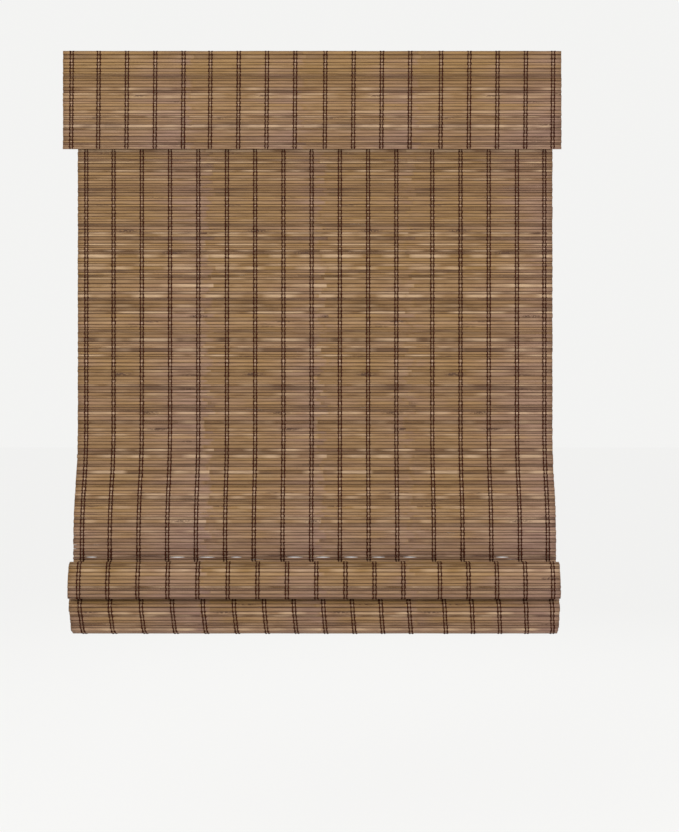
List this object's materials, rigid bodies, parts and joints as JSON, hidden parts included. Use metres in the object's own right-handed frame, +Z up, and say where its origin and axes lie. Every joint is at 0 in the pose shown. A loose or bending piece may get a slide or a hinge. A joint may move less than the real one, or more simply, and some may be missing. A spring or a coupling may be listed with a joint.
{
  "type": "woven wood roman shade",
  "caption": "Woven wood roman shade, partly raised: a slatted panel with folds at its foot behind a slatted valance, on a steel headrail with a spring lift.",
  "frame": {"origin": "centre of the four bracket screws, on the brackets' top faces", "axes": "+Z up, X along the headrail with +X to the right as seen from the room, -Y towards the room"},
  "size_m": [0.775, 0.1186, 0.9008],
  "materials": {
    "slats": "stained bamboo, satin",
    "warp_thread": "twisted dark brown cotton",
    "tape": "woven hook-and-loop tape",
    "painted_steel": "off-white baked enamel",
    "bracket_steel": "zinc plated",
    "shaft_steel": "bright drawn",
    "spring_steel": "blued spring strip",
    "white_plastic": "moulded, fine texture",
    "spool_plastic": "moulded acetal",
    "cradle_plastic": "moulded",
    "ring_plastic": "clear-white moulded rings",
    "rail_aluminium": "mill finish extrusion",
    "rail_plastic": "brown moulded"
  },
  "bodies": {
    "headrail_unit": {"headrail": "painted_steel", "end_cap_left": "white_plastic", "end_cap_right": "white_plastic", "bracket_left": "bracket_steel", "bracket_right": "bracket_steel", "valance_mat": "slats", "valance_warp": "warp_thread", "valance_tape": "tape", "panel_mat": "slats", "panel_warp": "warp_thread", "panel_tape": "tape", "spool_cradle_left": "cradle_plastic", "spool_cradle_centre": "cradle_plastic", "spool_cradle_right": "cradle_plastic", "cord_grommet_left": "cradle_plastic", "cord_grommet_centre": "cradle_plastic", "cord_grommet_right": "cradle_plastic", "motor_housing": "white_plastic", "motor_cover": "white_plastic", "power_spring": "spring_steel"},
    "foot": {"fold_mat": "slats", "fold_warp": "warp_thread", "bottom_rail": "rail_aluminium", "rail_cap_left": "rail_plastic", "rail_cap_right": "rail_plastic", "cord_anchors": "rail_plastic", "crease_rings": "ring_plastic", "loop_rings": "ring_plastic"},
    "lift_drive": {"lift_shaft": "shaft_steel", "spool_left": "spool_plastic", "spool_centre": "spool_plastic", "spool_right": "spool_plastic", "output_drum": "spool_plastic"},
    "storage_drum": {"storage_drum": "spool_plastic"},
    "ring_row_1": {"ring_row_1": "ring_plastic"},
    "ring_row_2": {"ring_row_2": "ring_plastic"},
    "ring_row_3": {"ring_row_3": "ring_plastic"}
  },
  "joints": [
    {"name": "lift", "type": "slide", "parent": "headrail_unit", "child": "foot", "axis": [0, 0, 1], "range_m": [0, 0.6], "deforming": ["panel_mat", "panel_warp"]},
    {"name": "shaft_spin", "type": "hinge", "parent": "headrail_unit", "child": "lift_drive", "pos_m": [0, -0.008, -0.0217], "axis": [1, 0, 0], "range_deg": [-5214, 0]},
    {"name": "storage_spin", "type": "hinge", "parent": "headrail_unit", "child": "storage_drum", "pos_m": [0, 0.0086, -0.0217], "axis": [1, 0, 0], "range_deg": [-4675, 0]},
    {"name": "ring_row_1_rise", "type": "slide", "parent": "headrail_unit", "child": "ring_row_1", "axis": [0, 0, 1], "range_m": [0, 0.4817]},
    {"name": "ring_row_2_rise", "type": "slide", "parent": "headrail_unit", "child": "ring_row_2", "axis": [0, 0, 1], "range_m": [0, 0.3595]},
    {"name": "ring_row_3_rise", "type": "slide", "parent": "headrail_unit", "child": "ring_row_3", "axis": [0, 0, 1], "range_m": [0, 0.2372]}
  ],
  "couplings": [
    {"joint": "shaft_spin", "follows": "lift", "rad_per_m": -151.52},
    {"joint": "storage_spin", "follows": "lift", "rad_per_m": -135.84},
    {"joint": "ring_row_1_rise", "follows": "lift", "ratio": 0.80113},
    {"joint": "ring_row_2_rise", "follows": "lift", "ratio": 0.59757},
    {"joint": "ring_row_3_rise", "follows": "lift", "ratio": 0.39364}
  ]
}
